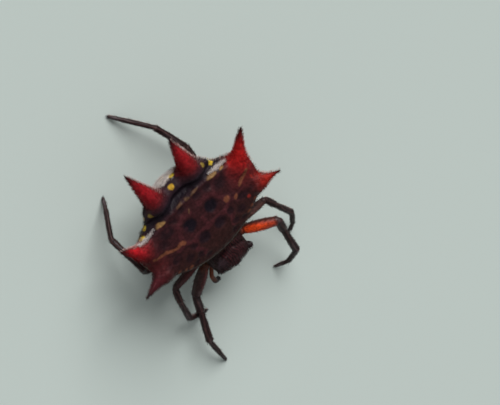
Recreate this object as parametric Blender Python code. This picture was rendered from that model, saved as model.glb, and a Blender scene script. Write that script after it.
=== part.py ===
"""A female spiny orb weaver spider at life size, standing still on eight feet.

Metres, +Z up. The head faces -Y and the spider's left side is +X. The floor is
Z = 0 and the origin lies on it, under the middle of the whole animal.
"""

import math

import bmesh
import bpy
from mathutils import Vector

MM = 0.001
GAP = 0.03 * MM

# The abdomen is a flattened, thorny cushion that narrows downwards to the spinnerets.
ABDOMEN_CENTRE = Vector((0, 2.3, 0)) * MM
ABDOMEN_HALF_WIDTH = 4.65 * MM
ABDOMEN_FRONT_LENGTH = 3.1 * MM
ABDOMEN_REAR_LENGTH = 2.95 * MM
ABDOMEN_TOP = 5.1 * MM
ABDOMEN_MARGIN = 4.3 * MM
ABDOMEN_BOTTOM = 1.5 * MM
CORNER_RISE = 0.3 * MM
REAR_DROP = 0.3 * MM
VENTER_SHIFT = 0.5 * MM
WAIST_BEARING = math.radians(40)
WAIST_SPREAD = math.radians(15)
WAIST_PINCH = 0.14
REAR_BULGE = 0.06
REAR_BULGE_SPREAD = math.radians(25)
GROOVE_BACK = 1.85 * MM
GROOVE_DEPTH = 0.3 * MM
GROOVE_WIDTH = 0.3 * MM
GROOVE_SPAN = 0.72
PLATE_SQUARENESS = 3.0
VENTER_SQUARENESS = 1.5

# Each spine: root on the left side, base radius, and for each side a length, the
# angle of its lean from sideways to backwards, and its rise.
SPINES = {
    "front": {
        "root": (3.95, 0.95, 4.6),
        "radius": 0.72,
        "left": (1.63, -7, 14),
        "right": (2.0, -1, 12),
    },
    "side": {
        "root": (3.8, 2.7, 4.6),
        "radius": 0.7,
        "left": (2.9, 55, 12),
        "right": (2.72, 56, 21),
    },
    "rear": {
        "root": (1.45, 4.75, 4.6),
        "radius": 0.85,
        "left": (3.4, 88, 14),
        "right": (3.75, 82, 13),
    },
}
SPINE_TIP_RADIUS = 0.07
SPINE_TAPER = 1.5
SPINE_UPWARD_BEND = 0.12
SPINE_STEPS = 9

# Cephalothorax: a broad, nearly square carapace with a pit, over a shield-like sternum.
CARAPACE_CENTRE = Vector((0, -1.6, 2.45)) * MM
CARAPACE_HALF_WIDTH = 1.42 * MM
CARAPACE_HALF_LENGTH = 1.46 * MM
CARAPACE_HEIGHT = 0.95 * MM
CARAPACE_DEPTH = 0.25 * MM
CARAPACE_SQUARENESS = 2.8
BROW_SQUARENESS = {"left": 5.0, "right": 3.2}
NAPE_DROP = 0.45 * MM
PIT_Y = -1.5 * MM
PIT_DEPTH = 0.12 * MM
PIT_HALF_SIZES = Vector((0.4, 0.25)) * MM
STERNUM_CENTRE = Vector((0, -1.15, 1.98)) * MM
STERNUM_HALF_SIZES = Vector((0.62, 0.95, 0.2)) * MM
PEDICEL_START = Vector((0, -0.45, 2.35)) * MM
PEDICEL_END = Vector((0, 1.1, 2.75)) * MM
PEDICEL_RADIUS = 0.27

# The left eyes, as places on the carapace's front, with their radii.
EYES = {
    "front_middle": ((0.16, -3.1, 2.8), 0.085),
    "rear_middle": ((0.19, -2.97, 3.06), 0.09),
    "front_side": ((1.37, -2.9, 2.76), 0.075),
    "rear_side": ((1.48, -2.71, 2.9), 0.08),
}
# The head is turned a little, so the right side eyes lie further in than the left ones.
RIGHT_SIDE_EYES = {"front_side": (-1.19, -2.85, 2.76), "rear_side": (-1.31, -2.64, 2.9)}
EYE_HILL_RADIUS = 0.24 * MM
# Each hill's place and height.
EYE_HILLS = (((0, -2.95, 2.9), 0.13), ((1.27, -2.68, 2.82), 0.2), ((-1.06, -2.54, 2.82), 0.16))

# Legs, numbered from the front. A hip is two places: the coxa's root and the trochanter.
LEG_HIPS = {
    1: ((0.62, -1.9, 2.2), (1.68, -1.9, 2.34)),
    2: ((0.75, -1.35, 2.2), (1.7, -1.28, 2.35)),
    3: ((0.75, -0.85, 2.2), (1.6, -0.62, 2.3)),
    4: ((0.55, -0.4, 2.15), (1.2, 0.2, 2.15)),
}
# Femur, patella, tibia, metatarsus and tarsus, alike on both sides.
LEG_LENGTHS = {
    1: (2.3, 1.2, 2.2, 1.65, 1.0),
    2: (2.25, 1.05, 1.95, 1.5, 0.85),
    3: (1.3, 0.6, 0.95, 1.05, 0.65),
    4: (3.6, 1.05, 2.6, 2.05, 0.9),
}
# At the hip, thigh, knee, shin, foot and toe.
LEG_RADII = {
    1: (0.3, 0.38, 0.29, 0.26, 0.25, 0.25),
    2: (0.28, 0.33, 0.28, 0.26, 0.25, 0.25),
    3: (0.25, 0.27, 0.26, 0.25, 0.25, 0.25),
    4: (0.3, 0.33, 0.28, 0.26, 0.25, 0.25),
}
# Each segment's heading, from straight ahead round to the leg's own side, and its rise.
LEG_POSES = {
    (1, "left"): ((67, 23), (-5, -29), (-4, -18), (-41, -49), (-94, -36)),
    (1, "right"): ((45, -23), (21, -3), (22, -2), (-2, -24), (-3, -27)),
    (2, "left"): ((89, 8), (17, -18), (19, -25), (-16, -39), (-45, -29)),
    (2, "right"): ((86, 4), (18, -1), (5, -26), (-46, -40), (-46, -39)),
    (3, "left"): ((98, 28), (102, -38), (108, -66), (108, -74), (108, -66)),
    (3, "right"): ((98, 28), (102, -38), (108, -66), (108, -74), (108, -66)),
    (4, "left"): ((158, -16), (175, 3), (196, 2), (216, -24), (216, -25)),
    (4, "right"): ((104, 12), (171, 45), (178, -34), (228, -44), (228, -47)),
}
KNEE_STUB = 0.1 * MM
THIGH_AT = 0.45

# Mouth parts.
CHELICERA_TOP = (0.36, -2.72, 2.35)
CHELICERA_BOTTOM = (0.33, -2.92, 1.3)
CHELICERA_RADII = (0.3, 0.33, 0.2)
PALP_ROOT = (0.55, -2.45, 1.9)
PALP_BENDS = {
    "left": ((1.1, -2.4, 1.95), (1.2, -2.9, 1.75), (1.1, -3.4, 1.35), (0.85, -3.55, 0.95)),
    "right": ((1.25, -2.35, 2.0), (1.68, -2.95, 1.95), (1.66, -3.55, 1.6), (1.3, -3.75, 1.3)),
}
PALP_RADIUS = 0.25

SPINNERET_TOP = (0, 2.75, 1.95)
SPINNERET_BOTTOM = (0, 2.9, 1.0)
SPINNERET_RADII = (0.55, 0.3)

# Rings and segments of the rounded bodies.
FACETS = {"abdomen": (26, 44), "carapace": (20, 32), "sternum": (8, 16), "eye": (8, 10)}
FLOOR_BLOCK = 40 * MM


def remove_everything():
    for item in list(bpy.data.objects):
        bpy.data.objects.remove(item, do_unlink=True)


def new_collection(name):
    made = bpy.data.collections.new(name)
    bpy.context.scene.collection.children.link(made)
    return made


def finish(name, colour, roughness):
    """A plain shell-like material."""
    made = bpy.data.materials.new(name)
    made.use_nodes = True
    shader = made.node_tree.nodes["Principled BSDF"]
    shader.inputs["Base Color"].default_value = (*colour, 1)
    shader.inputs["Roughness"].default_value = roughness
    shader.inputs["Metallic"].default_value = 0
    return made


def new_object(name, mesh, collection, material=None):
    made = bpy.data.objects.new(name, mesh)
    collection.objects.link(made)
    if material:
        mesh.materials.clear()
        mesh.materials.append(material)
    return made


def ball_mesh(name, shape):
    """A sphere whose every point is moved to where shape(direction) says."""
    rings, segments = FACETS[name]
    cage = bmesh.new()
    bmesh.ops.create_uvsphere(cage, u_segments=segments, v_segments=rings, radius=1)
    for vertex in cage.verts:
        vertex.co = shape(vertex.co.normalized())
    bmesh.ops.triangulate(cage, faces=cage.faces)
    bmesh.ops.recalc_face_normals(cage, faces=cage.faces)
    mesh = bpy.data.meshes.new(name)
    cage.to_mesh(mesh)
    cage.free()
    mesh.shade_smooth()
    return mesh


def signed_power(value, power):
    return math.copysign(abs(value) ** power, value)


def cushion(direction, top_squareness, bottom_squareness):
    """(share outwards, height share) on a rounded form, flat above and coned below."""
    squareness = top_squareness if direction.z > 0 else bottom_squareness
    outward = math.hypot(direction.x, direction.y) ** (2 / squareness)
    return outward, signed_power(direction.z, 2 / squareness)


def groove(y, x):
    """How deep the groove across the back is at a place, as a share of its depth."""
    across = math.exp(-(((y - GROOVE_BACK) / GROOVE_WIDTH) ** 2))
    fade = max(0.0, 1 - abs(x / (GROOVE_SPAN * ABDOMEN_HALF_WIDTH)) ** 4)
    return across * fade


def waist(bearing):
    """How far the outline is drawn in between the side spines and the rear ones."""
    past = math.atan2(math.sin(bearing), abs(math.cos(bearing))) - WAIST_BEARING
    return math.exp(-((past / WAIST_SPREAD) ** 2))


def rear_bulge(bearing):
    """How far the outline swells between the rear spines."""
    away = (bearing - math.pi / 2) / REAR_BULGE_SPREAD
    return math.exp(-away * away)


def abdomen_point(direction):
    outward, height = cushion(direction, PLATE_SQUARENESS, VENTER_SQUARENESS)
    bearing = math.atan2(direction.y, direction.x)
    outward *= 1 - WAIST_PINCH * waist(bearing) + REAR_BULGE * rear_bulge(bearing)
    half_length = ABDOMEN_REAR_LENGTH if direction.y > 0 else ABDOMEN_FRONT_LENGTH
    x = ABDOMEN_HALF_WIDTH * outward * math.cos(bearing)
    y = half_length * outward * math.sin(bearing)
    margin = ABDOMEN_MARGIN + CORNER_RISE * (x / ABDOMEN_HALF_WIDTH) ** 2
    margin -= REAR_DROP * max(0.0, y / half_length) ** 2
    if height > 0:
        z = margin + (ABDOMEN_TOP - margin) * height
        z -= GROOVE_DEPTH * groove(y, x) * min(1.0, 2 * height)
    else:
        z = margin + (margin - ABDOMEN_BOTTOM) * height
        y -= VENTER_SHIFT * height
    return ABDOMEN_CENTRE + Vector((x, y, z))


def hill(point, centre, radius, height):
    """The lift of a small rounded hill round a centre."""
    away = (point - Vector(centre) * MM).length / radius
    return height * math.exp(-away * away)


def carapace_point(direction):
    outward, height = cushion(direction, CARAPACE_SQUARENESS, CARAPACE_SQUARENESS)
    bearing = math.atan2(direction.y, direction.x)
    brow = BROW_SQUARENESS["left" if direction.x > 0 else "right"]
    squareness = CARAPACE_SQUARENESS if direction.y > 0 else brow
    round_off = (
        abs(math.cos(bearing)) ** squareness + abs(math.sin(bearing)) ** squareness
    ) ** (-1 / squareness)
    x = CARAPACE_HALF_WIDTH * outward * round_off * math.cos(bearing)
    y = CARAPACE_HALF_LENGTH * outward * round_off * math.sin(bearing)
    z = (CARAPACE_HEIGHT if height > 0 else CARAPACE_DEPTH) * height
    if height > 0:
        z -= NAPE_DROP * height * max(0.0, y / CARAPACE_HALF_LENGTH)
    point = CARAPACE_CENTRE + Vector((x, y, z))
    if height > 0:
        from_pit = math.hypot(point.x / PIT_HALF_SIZES.x, (point.y - PIT_Y) / PIT_HALF_SIZES.y)
        point.z -= PIT_DEPTH * math.exp(-from_pit * from_pit)
    outside = Vector((x, y, z)).normalized()
    for centre, hill_height in EYE_HILLS:
        point += outside * hill(point, centre, EYE_HILL_RADIUS, hill_height * MM)
    return point


def sternum_point(direction):
    sizes = STERNUM_HALF_SIZES
    return STERNUM_CENTRE + Vector(
        (direction.x * sizes.x, direction.y * sizes.y, direction.z * sizes.z)
    )


def grown_copy(source, collection):
    """A cutter with the shape of source, larger by the gap on every side."""
    made = new_object(source.name + "_cutter", source.data.copy(), collection)
    made.hide_render = True
    made.display_type = "WIRE"
    swell = made.modifiers.new("swell", "DISPLACE")
    swell.mid_level = 0
    swell.strength = GAP
    return made


def floor_cutter(collection):
    """A block whose top is the floor."""
    bpy.ops.mesh.primitive_cube_add(size=FLOOR_BLOCK, location=(0, 0, -FLOOR_BLOCK / 2))
    made = bpy.context.object
    made.name = "floor_cutter"
    for holder in list(made.users_collection):
        holder.objects.unlink(made)
    collection.objects.link(made)
    made.hide_render = True
    made.display_type = "WIRE"
    return made


def cut(target, *cutters):
    for cutter in cutters:
        step = target.modifiers.new("clear of " + cutter.name, "BOOLEAN")
        step.operation = "DIFFERENCE"
        step.solver = "EXACT"
        step.object = cutter


def tube(name, points, radii, collection, material):
    """A closed tube through the points, as a mesh, with its radii in millimetres."""
    line = bpy.data.curves.new(name, "CURVE")
    line.dimensions = "3D"
    line.bevel_depth = MM
    line.bevel_resolution = 2
    line.use_fill_caps = True
    spline = line.splines.new("POLY")
    spline.points.add(len(points) - 1)
    for place, point, radius in zip(spline.points, points, radii):
        place.co = (*point, 1)
        place.radius = radius
    guide = new_object(name + "_guide", line, collection)
    bpy.context.view_layer.update()
    graph = bpy.context.evaluated_depsgraph_get()
    mesh = bpy.data.meshes.new_from_object(guide.evaluated_get(graph))
    bpy.data.objects.remove(guide, do_unlink=True)
    cage = bmesh.new()
    cage.from_mesh(mesh)
    bmesh.ops.remove_doubles(cage, verts=cage.verts, dist=0.0001 * MM)
    bmesh.ops.recalc_face_normals(cage, faces=cage.faces)
    cage.to_mesh(mesh)
    cage.free()
    mesh.name = name
    mesh.set_sharp_from_angle(angle=math.radians(50))
    return new_object(name, mesh, collection, material)


def sided(values, side):
    """A point given for the left side, in millimetres, as a place on this side."""
    x, y, z = values
    return Vector((x if side == "left" else -x, y, z)) * MM


def heading(side, bearing, rise):
    bearing, rise = math.radians(bearing), math.radians(rise)
    x = math.sin(bearing) * math.cos(rise)
    return Vector((x if side == "left" else -x, -math.cos(bearing) * math.cos(rise), math.sin(rise)))


def spine(name, side, collection, material):
    facts = SPINES[name]
    length, lean, rise = facts[side]
    start = sided(facts["root"], side)
    along = heading(side, 90 + lean, rise)
    points, radii = [], []
    for step in range(SPINE_STEPS + 1):
        share = step / SPINE_STEPS
        bend = Vector((0, 0, SPINE_UPWARD_BEND * length * share * share)) * MM
        points.append(start + along * length * share * MM + bend)
        taper = (1 - share) ** SPINE_TAPER
        radii.append(SPINE_TIP_RADIUS + (facts["radius"] - SPINE_TIP_RADIUS) * taper)
    return tube(f"spine_{name}_{side}", points, radii, collection, material)


def leg_joints(number, side):
    """The leg's hip, then the far end of the trochanter and of every later segment."""
    joints = [sided(place, side) for place in LEG_HIPS[number]]
    for length, (bearing, rise) in zip(LEG_LENGTHS[number], LEG_POSES[number, side]):
        joints.append(joints[-1] + heading(side, bearing, rise) * length * MM)
    return joints


def trimmed(joints, first, last):
    """The joints from first to last, its ends square to the bend and half a gap short."""
    run = [joint.copy() for joint in joints[first : last + 1]]
    if first > 0:
        across = bisector(joints, first)
        run[0] = joints[first] + across * GAP / 2
        run.insert(1, joints[first] + across * (GAP / 2 + KNEE_STUB))
    if last < len(joints) - 1:
        across = bisector(joints, last)
        run[-1] = joints[last] - across * (GAP / 2 + KNEE_STUB)
        run.append(joints[last] - across * GAP / 2)
    return run


def bisector(joints, at):
    before = (joints[at] - joints[at - 1]).normalized()
    after = (joints[at + 1] - joints[at]).normalized()
    return (before + after).normalized()


def leg(number, side, collection, shades, body_cutters, floor):
    """Three nodes: coxa to femur, patella with tibia, metatarsus with tarsus."""
    joints = leg_joints(number, side)
    hip, thigh, knee, shin, foot, toe = LEG_RADII[number]
    name = f"leg_{number}_{side}"
    upper = trimmed(joints, 0, 2)
    middle_of_femur = joints[1].lerp(joints[2], THIGH_AT)
    upper.insert(2, middle_of_femur)
    femur = tube(
        name + "_femur",
        upper,
        (hip, hip, thigh, knee, knee),
        collection,
        shades["bright" if number == 1 else "leg"],
    )
    cut(femur, *body_cutters)
    tube(
        name + "_tibia",
        trimmed(joints, 2, 4),
        (knee, knee, knee, shin, shin),
        collection,
        shades["leg"],
    )
    tarsus = tube(
        name + "_tarsus",
        trimmed(joints, 4, 6),
        (foot, foot, foot, toe),
        collection,
        shades["leg"],
    )
    cut(tarsus, floor)


def palp(side, collection, material, cutters):
    points = [sided(place, side) for place in (PALP_ROOT, *PALP_BENDS[side])]
    radii = (PALP_RADIUS,) * 4
    root = tube(f"palp_{side}_base", trimmed(points, 0, 2), radii, collection, material)
    cut(root, *cutters)
    tube(f"palp_{side}_tip", trimmed(points, 2, 4), radii, collection, material)


def chelicera(side, collection, material, cutters):
    top, bottom = sided(CHELICERA_TOP, side), sided(CHELICERA_BOTTOM, side)
    made = tube(
        f"chelicera_{side}",
        (top, top.lerp(bottom, 0.5), bottom),
        CHELICERA_RADII,
        collection,
        material,
    )
    cut(made, *cutters)


def eyes(collection, material, carapace_cutter):
    for name, (place, radius) in EYES.items():
        for side in ("left", "right"):
            centre = sided(place, side)
            if side == "right" and name in RIGHT_SIDE_EYES:
                centre = Vector(RIGHT_SIDE_EYES[name]) * MM

            def shape(direction, centre=centre, radius=radius):
                return centre + direction * radius * MM

            mesh = ball_mesh("eye", shape)
            made = new_object(f"eye_{name}_{side}", mesh, collection, material)
            cut(made, carapace_cutter)


def build():
    remove_everything()
    spider = new_collection("spiny_orb_weaver")
    helpers = new_collection("cutters")
    shades = {
        "plate": finish("maroon shell", (0.075, 0.022, 0.022), 0.4),
        "spine": finish("crimson spine", (0.42, 0.014, 0.02), 0.35),
        "leg": finish("dark brown leg", (0.035, 0.02, 0.017), 0.4),
        "bright": finish("red-orange femur", (0.5, 0.07, 0.02), 0.4),
        "head": finish("brown carapace", (0.045, 0.025, 0.023), 0.35),
        "eye": finish("black eye", (0.008, 0.008, 0.01), 0.08),
    }
    abdomen_mesh = ball_mesh("abdomen", abdomen_point)
    carapace_mesh = ball_mesh("carapace", carapace_point)
    sternum_mesh = ball_mesh("sternum", sternum_point)
    abdomen = new_object("abdomen", abdomen_mesh, spider, shades["plate"])
    carapace = new_object("carapace", carapace_mesh, spider, shades["head"])
    sternum = new_object("sternum", sternum_mesh, spider, shades["head"])
    abdomen_cutter = grown_copy(abdomen, helpers)
    carapace_cutter = grown_copy(carapace, helpers)
    sternum_cutter = grown_copy(sternum, helpers)
    floor = floor_cutter(helpers)
    chest = (carapace_cutter, sternum_cutter)
    for name in SPINES:
        for side in ("left", "right"):
            cut(spine(name, side, spider, shades["spine"]), abdomen_cutter)
    pedicel = tube(
        "pedicel",
        (PEDICEL_START, PEDICEL_END),
        (PEDICEL_RADIUS, PEDICEL_RADIUS),
        spider,
        shades["head"],
    )
    cut(pedicel, abdomen_cutter, *chest)
    spinnerets = tube(
        "spinnerets",
        [Vector(place) * MM for place in (SPINNERET_TOP, SPINNERET_BOTTOM)],
        SPINNERET_RADII,
        spider,
        shades["plate"],
    )
    cut(spinnerets, abdomen_cutter)
    for side in ("left", "right"):
        chelicera(side, spider, shades["head"], chest)
        palp(side, spider, shades["leg"], chest)
        for number in LEG_LENGTHS:
            leg(number, side, spider, shades, chest, floor)
    eyes(spider, shades["eye"], carapace_cutter)


build()
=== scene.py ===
"""The looks of a female spiny orb weaver spider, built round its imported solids.

Shapes are worked out in millimetres and become metres when a piece is made. The head
faces -Y, the spider's left side is +X and the floor is Z = 0.
"""

import math

import bpy
import numpy as np
from mathutils import Matrix, Quaternion, Vector


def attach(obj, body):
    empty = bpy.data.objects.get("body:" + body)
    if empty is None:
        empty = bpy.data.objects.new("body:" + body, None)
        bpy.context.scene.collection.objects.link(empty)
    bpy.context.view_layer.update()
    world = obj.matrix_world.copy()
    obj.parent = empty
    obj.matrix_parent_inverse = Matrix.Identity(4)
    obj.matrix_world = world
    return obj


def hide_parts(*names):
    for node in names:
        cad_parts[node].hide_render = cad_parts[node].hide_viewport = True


MM = 0.001
BODY = "root"
SIDES = ("left", "right")

# The abdomen: a flattened cushion with a hard plate above and a cone below.
ABDOMEN_Y = 2.3
HALF_WIDTH = 4.62
FRONT_LENGTH = 3.07
REAR_LENGTH = 2.92
TOP = 5.07
MARGIN = 4.3
BOTTOM = 1.53
CORNER_RISE = 0.3
REAR_DROP = 0.3
VENTER_SHIFT = 0.5
WAIST_BEARING = math.radians(40)
WAIST_SPREAD = math.radians(15)
WAIST_PINCH = 0.15
REAR_BULGE = 0.06
REAR_BULGE_SPREAD = math.radians(25)
PLATE_SQUARENESS = 3.0
VENTER_SQUARENESS = 1.5
GROOVE_BACK = 1.94
GROOVE_CURVE = 0.036
GROOVE_DEPTH = 0.4
GROOVE_WIDTH = 0.27
RIDGE_AHEAD = 0.46
RIDGE_LIFT = 0.07
SKIN_STEP = 0.0465
ABDOMEN_BOX = ((-6.3, -1.2, 1.3), (6.0, 9.1, 6.3))

THORN_ROOTS = {"front": (3.95, 0.95, 4.6), "side": (3.8, 2.7, 4.6), "rear": (1.45, 4.75, 4.6)}
# Each thorn's length, the angle of its lean from sideways to backwards, its rise, its radius
# at the root, its taper, its red, and how far along it that red begins.
THORNS = {
    ("front", "left"): (1.63, -7, 14, 0.54, 1.35, (0.42, 0.018, 0.008), 0.0),
    # The front right thorn's red is painted dark to stand for shade: painted shade.
    ("front", "right"): (2.0, -1, 12, 0.52, 1.2, (0.09, 0.01, 0.014), 0.0),
    ("side", "left"): (2.9, 55, 12, 0.54, 0.95, (0.5, 0.01, 0.008), -0.12),
    ("side", "right"): (2.72, 56, 21, 0.65, 1.15, (0.5, 0.008, 0.014), 0.2),
    ("rear", "left"): (3.4, 88, 14, 0.71, 1.12, (0.42, 0.012, 0.017), 0.06),
    ("rear", "right"): (3.75, 82, 13, 0.72, 1.15, (0.4, 0.009, 0.015), 0.06),
}
# How strongly a thorn's colour covers the shell, and how bright it is, along its length.
THORN_SHARES = (-0.4, -0.15, 0.05, 0.2, 0.45, 0.65, 0.8, 0.91, 1.0)
THORN_COVER = (0.0, 0.25, 0.7, 0.95, 1.0, 1.0, 1.0, 1.0, 1.0)
THORN_LEVEL = (0.08, 0.13, 0.3, 0.6, 1.0, 0.85, 0.4, 0.15, 0.06)
THORN_TIP = 0.04
THORN_BEND = 0.12
THORN_BLEND = 0.5
THORN_STEPS = 9

# The head and thorax.
CARAPACE_CENTRE = (0, -1.6, 2.45)
CARAPACE_HALF_WIDTH = 1.39
CARAPACE_HALF_LENGTH = 1.43
CARAPACE_HEIGHT = 0.92
CARAPACE_DEPTH = 0.23
CARAPACE_SQUARENESS = 2.8
BROW_SQUARENESS = {"left": 5.0, "right": 3.2}
NAPE_DROP = 0.45
PIT = (-0.35, -1.7, 0.5, 0.16, 0.2)
EYES = {
    "front_middle": ((0.16, -3.1, 2.8), 0.08),
    "rear_middle": ((0.19, -2.97, 3.06), 0.085),
    "front_side": ((1.37, -2.9, 2.76), 0.07),
    "rear_side": ((1.48, -2.71, 2.9), 0.075),
}
# The head is turned a little, so the right side eyes lie further in than the left ones.
RIGHT_SIDE_EYES = {"front_side": (-1.19, -2.85, 2.76), "rear_side": (-1.31, -2.64, 2.9)}
EYE_HILLS = {
    "middle": ((0, -2.86, 2.88), 0.24, 0.2),
    "left": ((1.33, -2.72, 2.82), 0.21, 0.12),
    "right": ((-1.1, -2.6, 2.8), 0.19, 0.25),
}
CARAPACE_STEP = 0.03
CARAPACE_BOX = ((-1.8, -3.5, 1.9), (1.8, 0.1, 3.7))

# Legs, numbered from the front: the coxa's root and the trochanter, then the lengths of
# femur, patella, tibia, metatarsus and tarsus.
LEG_HIPS = {
    1: ((0.62, -1.9, 2.2), (1.68, -1.9, 2.34)),
    2: ((0.75, -1.35, 2.2), (1.7, -1.28, 2.35)),
    3: ((0.75, -0.85, 2.2), (1.6, -0.62, 2.3)),
    4: ((0.55, -0.4, 2.15), (1.2, 0.2, 2.15)),
}
LEG_LENGTHS = {
    1: (2.3, 1.2, 2.2, 1.65, 1.0),
    2: (2.25, 1.05, 1.95, 1.5, 0.85),
    3: (1.3, 0.6, 0.95, 1.05, 0.65),
    4: (3.6, 1.05, 2.6, 2.05, 0.9),
}
# Each segment's heading, from straight ahead round to the leg's own side, and its rise.
LEG_POSES = {
    (1, "left"): ((67, 23), (-5, -29), (-4, -18), (-41, -49), (-94, -36)),
    (1, "right"): ((45, -23), (21, -3), (22, -2), (-2, -24), (-3, -27)),
    (2, "left"): ((89, 8), (17, -18), (19, -25), (-16, -39), (-45, -29)),
    (2, "right"): ((86, 4), (18, -1), (5, -26), (-46, -40), (-46, -39)),
    (3, "left"): ((98, 28), (102, -38), (108, -66), (108, -74), (108, -66)),
    (3, "right"): ((98, 28), (102, -38), (108, -66), (108, -74), (108, -66)),
    (4, "left"): ((158, -16), (175, 3), (196, 2), (216, -24), (216, -25)),
    (4, "right"): ((104, 12), (171, 45), (178, -34), (228, -44), (228, -47)),
}
# Half widths of coxa, trochanter, femur, patella, tibia, metatarsus, tarsus and its tip.
LEG_HALF_WIDTHS = {
    1: (0.27, 0.22, 0.37, 0.265, 0.235, 0.155, 0.11, 0.07),
    2: (0.25, 0.2, 0.27, 0.215, 0.195, 0.145, 0.105, 0.07),
    3: (0.22, 0.18, 0.22, 0.18, 0.17, 0.13, 0.11, 0.08),
    4: (0.27, 0.22, 0.25, 0.2, 0.19, 0.15, 0.12, 0.085),
}
LEG_RING = 22
LEG_STATION = 0.035
SEGMENTS = ("coxa", "femur", "patella", "tibia", "metatarsus", "tarsus")

PALP_ROOT = (0.55, -2.45, 1.9)
PALP_BENDS = {
    "left": ((1.1, -2.4, 1.95), (1.2, -2.9, 1.75), (1.1, -3.4, 1.35), (0.85, -3.55, 0.95)),
    "right": ((1.25, -2.35, 2.0), (1.68, -2.95, 1.95), (1.66, -3.55, 1.6), (1.3, -3.75, 1.3)),
}
PALP_RADII = (0.15, 0.14, 0.13, 0.17, 0.14)
CHELICERA = ((0.34, -2.6, 2.45), (0.37, -2.85, 2.1), (0.36, -2.95, 1.7), (0.32, -2.93, 1.38))
CHELICERA_RADII = (0.22, 0.29, 0.27, 0.17)
FANG = ((0.31, -2.9, 1.42), (0.24, -3.0, 1.3), (0.12, -2.98, 1.24), (0.05, -2.9, 1.25))
FANG_RADII = (0.075, 0.055, 0.035, 0.008)
TUBE_RING = 20
TUBE_STATION = 0.03

# The hairs of each part: how many, or how many to a millimetre of leg, the least and
# greatest length, and the radius at the root.
HAIRS = {
    "down": (15000, 0.08, 0.15, 0.0065),
    "fringe": (4200, 0.06, 0.2, 0.007),
    "head": (4500, 0.1, 0.24, 0.006),
    "leg": (230, 0.1, 0.19, 0.0065),
    "palp": (420, 0.072, 0.144, 0.006),
    "jaw": (300, 0.078, 0.156, 0.006),
    "spinneret": (60, 0.048, 0.096, 0.006),
}

# Colours, as linear light.
GROUND = (0.038, 0.01, 0.012)
FRONT_GROUND = (0.036, 0.012, 0.011)
NETWORK = (0.07, 0.016, 0.02)
DARK_SPOT = (0.009, 0.005, 0.01)
MAROON_SPOT = (0.016, 0.006, 0.009)
GROOVE_BLACK = (0.018, 0.011, 0.018)
TAN = (0.34, 0.19, 0.068)
RIDGE_OLIVE = (0.12, 0.06, 0.03)
STRIPE_TAN = (0.21, 0.07, 0.035)
MARGIN_OLIVE = (0.11, 0.075, 0.03)
YELLOW = (0.78, 0.55, 0.05)
DEEP_YELLOW = (0.5, 0.29, 0.02)
OLIVE = (0.24, 0.16, 0.03)
CREAM = (0.85, 0.62, 0.3)
RED_SPOT = (0.3, 0.022, 0.014)
WASH = (0.13, 0.016, 0.016)
TIP_BLACK = (0.014, 0.007, 0.009)
# Pale cuticle, brightened as a painted backlight highlight.
PALE_RIM_AND_BACKLIGHT = (1.0, 0.9, 0.83)
VENTER = (0.02, 0.011, 0.01)
VENTER_SPOT = (0.3, 0.2, 0.07)
HEAD = (0.026, 0.011, 0.012)
HEAD_RED = (0.095, 0.02, 0.026)
# A painted sheen on the right side of the head.
HEAD_SHEEN = (0.075, 0.045, 0.058)
LEG_DARK = (0.022, 0.009, 0.01)
LEG_BROWN = (0.06, 0.026, 0.024)
LEG_STREAK = (0.09, 0.042, 0.039)
# Painted grey highlight for the upper sides of the legs.
LEG_HIGHLIGHT = (0.16, 0.13, 0.14)
LEG_ORANGE = (1.0, 0.085, 0.01)
LEG_MAROON = (0.12, 0.014, 0.016)
LEG_PINK = (0.22, 0.09, 0.075)
JOINT_PALE = (0.08, 0.035, 0.033)
PALP_BROWN = (0.24, 0.07, 0.035)
# White hairs, brightened as a painted backlight highlight.
WHITE_BACKLIT_HAIR = (0.95, 0.88, 0.86)
DARK_HAIR = (0.02, 0.01, 0.01)
# Painted rim highlight for hairs that face the light from behind.
HAIR_HIGHLIGHT = (0.72, 0.52, 0.48)
HEAD_HAIR = (0.11, 0.045, 0.05)
EYE_BLACK = (0.006, 0.005, 0.006)
FANG_BROWN = (0.09, 0.02, 0.012)
# The way the light comes from behind the spider: hairs facing it get a painted rim highlight, and
# the dark backs of the thighs face it.
BACKLIGHT_WAY = (0.7, 0.66, -0.28)
# For each femur: its bright colour, and how far round to the back that reaches.
FEMUR_TINTS = {
    (1, "left"): (LEG_ORANGE, 0.45),
    (1, "right"): (LEG_MAROON, -0.2),
    (2, "left"): (LEG_PINK, 0.1),
    (2, "right"): (LEG_MAROON, 0.4),
    (3, "left"): (LEG_MAROON, 0.2),
    (3, "right"): (LEG_MAROON, 0.2),
    (4, "left"): (LEG_MAROON, 0.0),
    # The right hind thigh's pale pink, all round it, is partly a painted highlight.
    (4, "right"): (LEG_PINK, 1.2),
}

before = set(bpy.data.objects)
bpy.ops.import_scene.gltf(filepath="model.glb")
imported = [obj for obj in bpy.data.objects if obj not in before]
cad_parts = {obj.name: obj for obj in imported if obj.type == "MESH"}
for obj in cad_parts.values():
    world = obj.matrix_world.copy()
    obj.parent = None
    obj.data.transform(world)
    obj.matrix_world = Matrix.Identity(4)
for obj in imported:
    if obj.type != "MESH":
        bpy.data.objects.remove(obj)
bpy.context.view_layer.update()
seeded = np.random.default_rng(41)


def own_side(places, side):
    """Places given for the left side, on this side."""
    return np.array(places, float) * (1 if side == "left" else -1, 1, 1)


def heading(side, bearing, rise):
    """The way this far round from straight ahead and this steeply up, in degrees."""
    bearing, rise = math.radians(bearing), math.radians(rise)
    level = math.cos(rise)
    return own_side((math.sin(bearing) * level, -math.cos(bearing) * level, math.sin(rise)), side)


def unit(vectors):
    vectors = np.asarray(vectors, float)
    return vectors / np.maximum(np.linalg.norm(vectors, axis=-1, keepdims=True), 1e-9)


def apart(places, place):
    return np.linalg.norm(places - place, axis=1)


def smooth(values, low, high):
    """0 below low, 1 above high, and an even turn between them."""
    share = np.clip((values - low) / (high - low), 0, 1)
    return share * share * (3 - 2 * share)


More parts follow.
